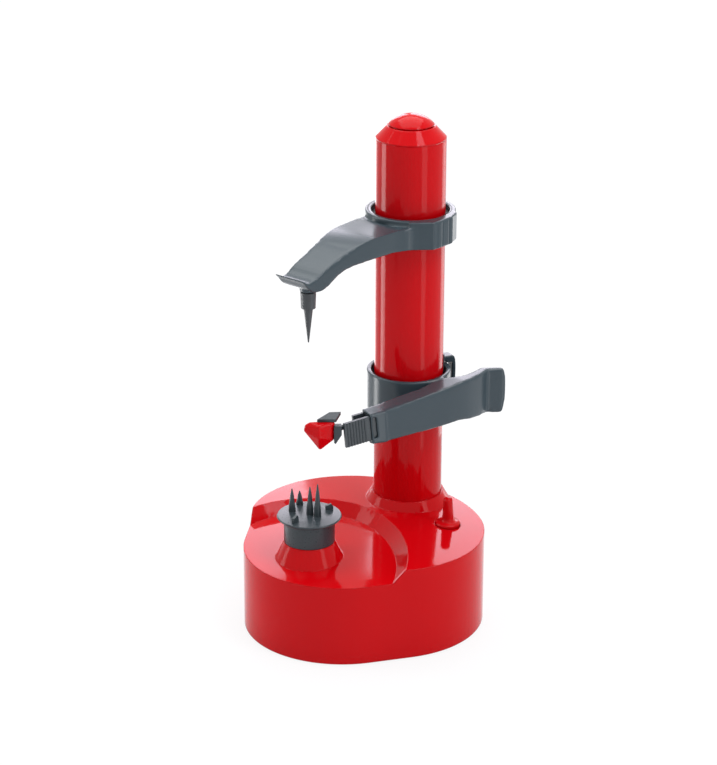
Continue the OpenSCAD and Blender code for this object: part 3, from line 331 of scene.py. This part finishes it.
groove_floor = 0.2335
crown_front = -0.066
crown_back = -0.0268
crown_top = 0.2383
crown_level_to = -0.046
crown_fall = 7.8
crown_half_width = 0.015
crown_side_drop = 0.0004


def crowned(p):
    """The height of a point of the holder, with the groove along its arch filled to a crown."""
    if not crown_front < p.y < crown_back or p.z <= groove_floor:
        return p.z
    forward = max(0, crown_level_to - p.y)
    sideways = p.x / crown_half_width
    return max(p.z, crown_top - crown_fall * forward ** 2 - crown_side_drop * sideways ** 2)


moulding("holder_arm", "holder", slate_satin, cell=0.0006, rounds=6,
    softer=on_arch, soft_rounds=30, raised=crowned)

tip_edge = -0.056
tip_fade = 0.004
ring_edge = 0.0275
ring_fade = 0.002


def off_ring(p):
    """Where the peeler arm is eased again: outside its ring, but for the tip with the cassette."""
    return past(p.y, tip_edge, tip_fade) * past(math.hypot(p.x, p.y), ring_edge, ring_fade)


moulding("peeler_arm", "arm", slate_satin, cell=0.0006, rounds=8,
    softer=off_ring, soft_rounds=24)
moulding("release_button", "release", slate_satin, cell=0.0004, rounds=3)


# Cassette, head and turntable
# The cassette in the arm's tip, the neck with its block, the clip on the guard and the
# turntable are moulded in a charcoal plastic with the same satin grain.
def give(finish, *names):
    for name in names:
        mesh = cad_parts[name].data
        mesh.materials.clear()
        mesh.materials.append(finish.owner)


light_charcoal = (0.036, 0.047, 0.053, 1)
deep_charcoal = (0.028, 0.038, 0.044, 1)
charcoal = Finish(bpy.data.materials.new("charcoal_satin_plastic"))
fine = mottle(charcoal, scale=900, detail=2)
surface(charcoal, {
    "Base Color": charcoal.mix(fine, deep_charcoal, light_charcoal),
    "Roughness": 0.24 + 0.1 * fine,
    "IOR": 1.4,
    "Normal": relief(charcoal, fine, strength=0.1, depth=0.0001, edge_radius=0.0003)})
give(charcoal, "blade_cassette", "blade_neck", "blade_clip", "turntable")

# Dark mouldings
# The floor of the base, the battery door, the switch, the holder's guide and pawl, the arm's
# sleeve and the spike with its socket are a darker plastic of the same kind. The floor is
# screwed on from below.
light_graphite = (0.045, 0.050, 0.055, 1)
deep_graphite = (0.030, 0.036, 0.040, 1)
dark_satin = Finish(bpy.data.materials.new("dark_satin_plastic"))
speck = mottle(dark_satin, scale=700, detail=2)
surface(dark_satin, {
    "Base Color": dark_satin.mix(speck, deep_graphite, light_graphite),
    "Roughness": 0.36 + 0.12 * speck,
    "Normal": relief(dark_satin, speck, strength=0.15, depth=0.0001, edge_radius=0.0003)})
give(dark_satin, "base_plate", "battery_door", "stop_switch", "holder_guide", "holder_latch")
give(dark_satin, "carriage_sleeve", "spike_socket", "food_spike")

# Gears and bushes
# Gears, gear plate, the column's two bushes and the half nut are moulded in white nylon. They
# sit inside the base and the column.
light_nylon = (0.80, 0.79, 0.75, 1)
deep_nylon = (0.72, 0.72, 0.68, 1)
nylon = Finish(bpy.data.materials.new("white_nylon"))
milk = mottle(nylon, scale=120, detail=2)
surface(nylon, {
    "Base Color": nylon.mix(milk, deep_nylon, light_nylon),
    "Roughness": 0.4 + 0.15 * milk})
give(nylon, "gear_plate", "motor_pinion", "front_idler", "rear_idler", "turntable_gear", "screw_gear")
give(nylon, "lower_bush", "upper_bush", "half_nut")

# Steel parts
# Motor can, spindle, lead screw, contacts, screws and the blade are steel, with fine lines
# around them. The lead screw shows through the slot at the back of the column.
steel_grey = (0.58, 0.58, 0.6, 1)
steel = Finish(bpy.data.materials.new("brushed_steel"))
on_steel = steel.node("TexCoord", out="Object")
lines = steel.node("Mapping", None, {"Vector": on_steel, "Scale": (40, 40, 2400)})
brush = steel.node("TexNoise", None, {"Vector": lines, "Scale": 1, "Detail": 3})
surface(steel, {"Base Color": steel_grey, "Metallic": 1, "Roughness": 0.2 + 0.2 * brush})
give(steel, "drive_motor", "turntable_spindle", "lead_screw", "battery_contacts", "base_screws")
give(steel, "peeler_blade")

# Cells
# Four dry cells lie side by side in the box of the floor, between their contacts. Each has a
# plain dark grey metal jacket.
jacket_grey = (0.06, 0.07, 0.08, 1)
jacket = Finish(bpy.data.materials.new("cell_jacket"))
surface(jacket, {"Base Color": jacket_grey, "Metallic": 0.7, "Roughness": 0.3})
give(jacket, "battery_cells")

# Feet
# Five round feet of black rubber, one under the column and four near the rim of the base.
# They are pushed into the floor from below.
light_rubber = (0.03, 0.03, 0.03, 1)
deep_rubber = (0.012, 0.012, 0.012, 1)
rubber = Finish(bpy.data.materials.new("black_rubber"))
bloom = mottle(rubber, scale=300, detail=3)
surface(rubber, {
    "Base Color": rubber.mix(bloom, deep_rubber, light_rubber),
    "Roughness": 0.6 + 0.2 * bloom})
give(rubber, "rubber_feet")
